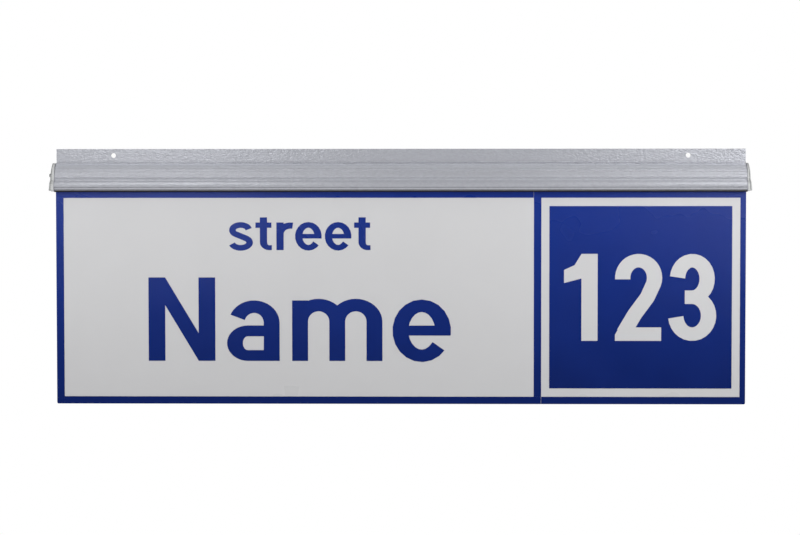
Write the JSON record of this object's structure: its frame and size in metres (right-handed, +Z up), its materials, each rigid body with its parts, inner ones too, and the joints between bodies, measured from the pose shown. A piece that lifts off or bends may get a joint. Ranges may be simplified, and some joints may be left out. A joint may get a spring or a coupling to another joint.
{
  "type": "street name sign",
  "caption": "Lit street name sign: a film-faced plate with a name field and a number square hangs from a back plate on the wall, under a hood that lights its face.",
  "frame": {"origin": "midway between the two wall holes in the back plate's flange, in the plane of the wall", "axes": "+X along the sign to the reader's right, +Z up, -Y out of the sign's face towards the reader"},
  "size_m": [1.0154, 0.0271, 0.3705],
  "materials": {
    "hammered_silver": "semi-gloss silver paint with a fine hammered texture",
    "cap_grey": "satin moulded, light grey",
    "gasket_rubber": "matt",
    "screw_steel": "plain zinc-plated",
    "black_rubber": "matt",
    "plate_white": "satin white skins on a dark core",
    "film_white": "satin reflecting film",
    "film_blue": "satin translucent film over the white one",
    "board_white": "white solder mask",
    "led_yellow": "phosphor under clear resin",
    "opal_cover": "opal diffuser",
    "driver_white": "moulded"
  },
  "bodies": {
    "root": {"back_plate": "hammered_silver", "hood": "hammered_silver", "end_cap_left": "cap_grey", "end_cap_right": "cap_grey", "end_gasket_left": "gasket_rubber", "end_gasket_right": "gasket_rubber", "cap_screws_left": "screw_steel", "cap_screws_right": "screw_steel", "cable_grommet": "black_rubber", "lip_seal": "black_rubber", "sign_panel": "plate_white", "panel_screws": "screw_steel", "base_film": "film_white", "name_border_top": "film_blue", "name_border_left": "film_blue", "name_border_bottom": "film_blue", "number_frame_film": "film_blue", "number_field_film": "film_blue", "led_boards": "board_white", "leds": "led_yellow", "light_cover": "opal_cover", "led_driver": "driver_white", "terminal_block": "driver_white"}
  },
  "joints": []
}
